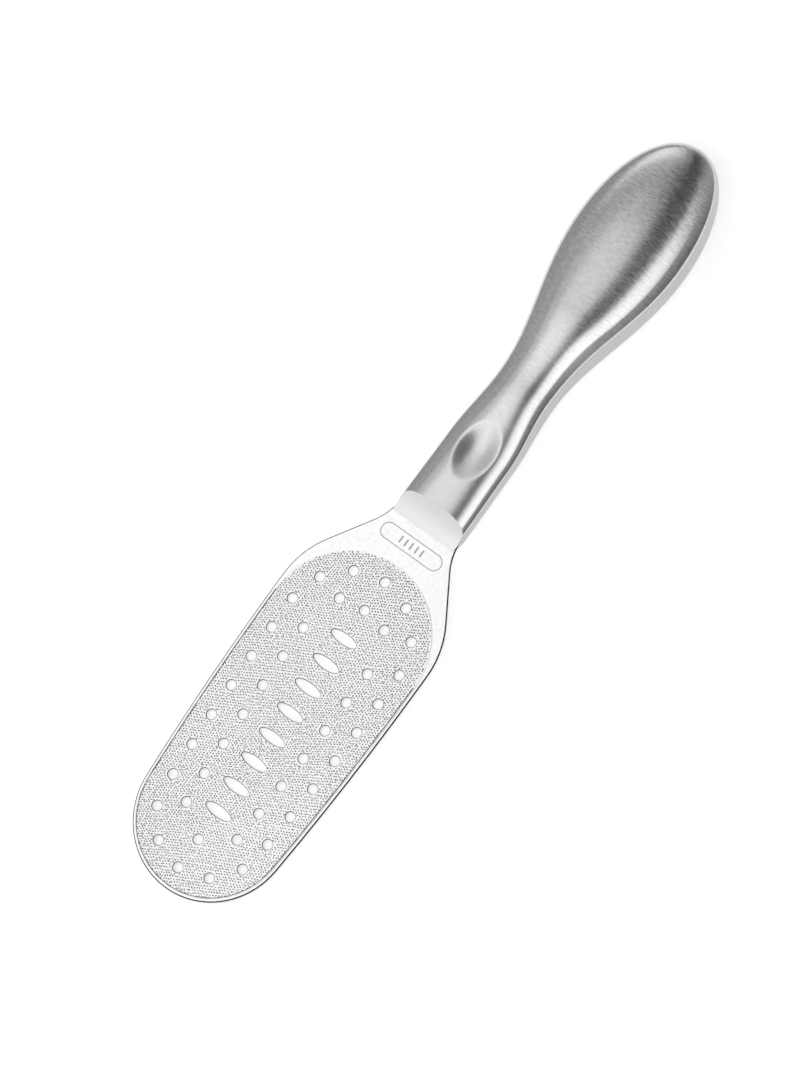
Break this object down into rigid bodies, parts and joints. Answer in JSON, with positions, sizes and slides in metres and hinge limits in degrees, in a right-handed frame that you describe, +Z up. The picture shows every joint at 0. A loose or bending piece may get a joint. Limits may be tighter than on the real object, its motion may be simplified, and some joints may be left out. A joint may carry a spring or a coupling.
{
  "type": "foot file",
  "caption": "Double-sided steel foot file: a perforated paddle with a coarse and a fine file face, a scooped neck and a hollow brushed handle with a thumb dimple on each side.",
  "frame": {"origin": "centre of the base of the bounding box, on the table that the tool lies on", "axes": "+X from the paddle's tip to the handle's end, +Z up with the coarse face, +Y to the left of a hand holding it"},
  "size_m": [0.2598, 0.0536, 0.0167],
  "materials": {
    "plate_steel": "satin polished stainless steel",
    "coarse_file_steel": "etched coarse teeth",
    "fine_file_steel": "etched fine teeth",
    "bond_film": "cured adhesive film",
    "handle_steel": "cross-brushed stainless steel",
    "potting_resin": "cast resin",
    "braze": "as brazed"
  },
  "bodies": {
    "root": {"blade_plate": "plate_steel", "coarse_file_sheet": "coarse_file_steel", "fine_file_sheet": "fine_file_steel", "coarse_bond_film": "bond_film", "fine_bond_film": "bond_film", "front_handle_shell": "handle_steel", "back_handle_shell": "handle_steel", "tang_potting": "potting_resin", "seam_braze": "braze"}
  },
  "joints": []
}
